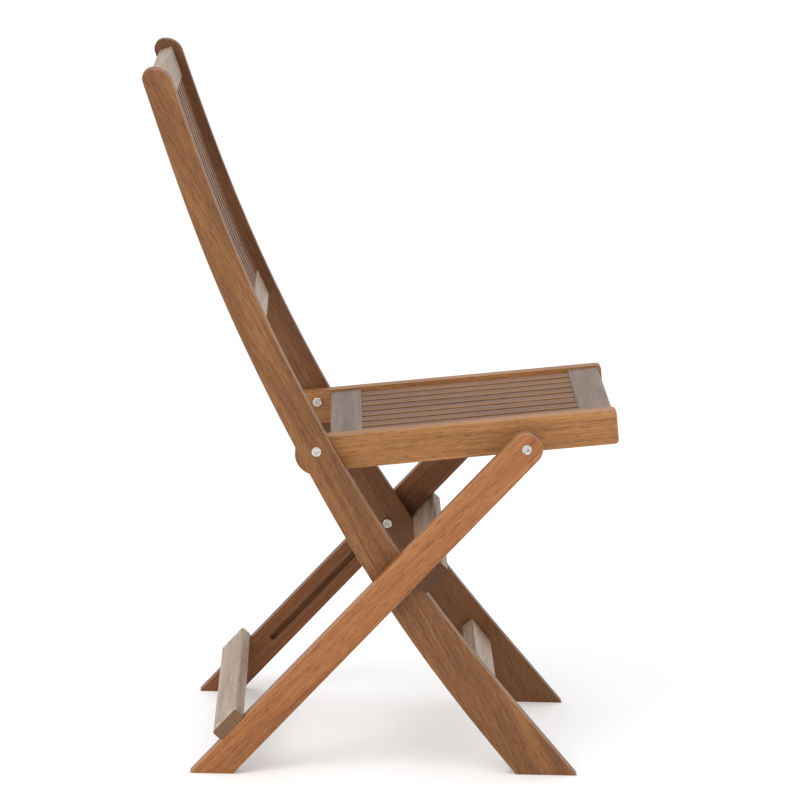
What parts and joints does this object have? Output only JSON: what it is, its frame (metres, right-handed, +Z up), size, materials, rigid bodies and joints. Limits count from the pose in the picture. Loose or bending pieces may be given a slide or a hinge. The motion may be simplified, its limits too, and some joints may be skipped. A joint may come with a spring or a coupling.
{
  "type": "folding slatted chair",
  "caption": "Folding wooden garden chair with a slatted seat and back, curved stiles and crossed rear legs that fold flat beside them.",
  "frame": {"origin": "middle of the bounding box at floor level, under the open chair", "axes": "+X the way a sitter faces, +Y the sitter's left, +Z up"},
  "size_m": [0.5902, 0.391, 0.87],
  "materials": {
    "stile_wood": "brown stained hardwood, satin",
    "leg_wood": "warm brown stained hardwood, satin",
    "seat_rail_wood": "brown stained hardwood, satin",
    "slat_wood": "brown stained hardwood, satin",
    "crosspiece_wood": "pale weathered hardwood, matt",
    "zinc": "bright zinc-plated steel"
  },
  "bodies": {
    "back_frame": {"left_stile": "stile_wood", "right_stile": "stile_wood", "back_top_rail": "crosspiece_wood", "back_lower_rail": "crosspiece_wood", "back_slat_1": "slat_wood", "back_slat_2": "slat_wood", "back_slat_3": "slat_wood", "back_slat_4": "slat_wood", "back_slat_5": "slat_wood", "back_slat_6": "slat_wood", "back_slat_7": "slat_wood", "back_slat_8": "slat_wood", "back_slat_9": "slat_wood", "front_stretcher": "crosspiece_wood", "guide_bolts": "zinc"},
    "seat": {"seat_rail_left": "seat_rail_wood", "seat_rail_right": "seat_rail_wood", "seat_rear_rail": "crosspiece_wood", "seat_front_rail": "crosspiece_wood", "seat_slat_1": "slat_wood", "seat_slat_2": "slat_wood", "seat_slat_3": "slat_wood", "seat_slat_4": "slat_wood", "seat_slat_5": "slat_wood", "seat_slat_6": "slat_wood", "seat_slat_7": "slat_wood", "seat_slat_8": "slat_wood", "seat_pivot_bolts": "zinc", "seat_pivot_nuts": "zinc", "seat_pivot_washers": "zinc", "leg_pivot_bolts": "zinc", "leg_pivot_nuts": "zinc", "leg_pivot_spacers": "zinc"},
    "rear_legs": {"leg_left": "leg_wood", "leg_right": "leg_wood", "rear_stretcher": "crosspiece_wood", "mid_stretcher": "crosspiece_wood", "rear_stretcher_screws": "zinc", "mid_stretcher_screws": "zinc"}
  },
  "joints": [
    {"name": "seat_fold", "type": "hinge", "parent": "back_frame", "child": "seat", "pos_m": [-0.07624, 0, 0.405], "axis": [0, -1, 0], "range_deg": [0, 103.5]},
    {"name": "leg_fold", "type": "hinge", "parent": "seat", "child": "rear_legs", "pos_m": [0.18, 0, 0.41798], "axis": [0, 1, 0], "range_deg": [0, 39.42]}
  ],
  "couplings": [
    {"joint": "leg_fold", "follows": "seat_fold", "ratio": 0.37895}
  ]
}
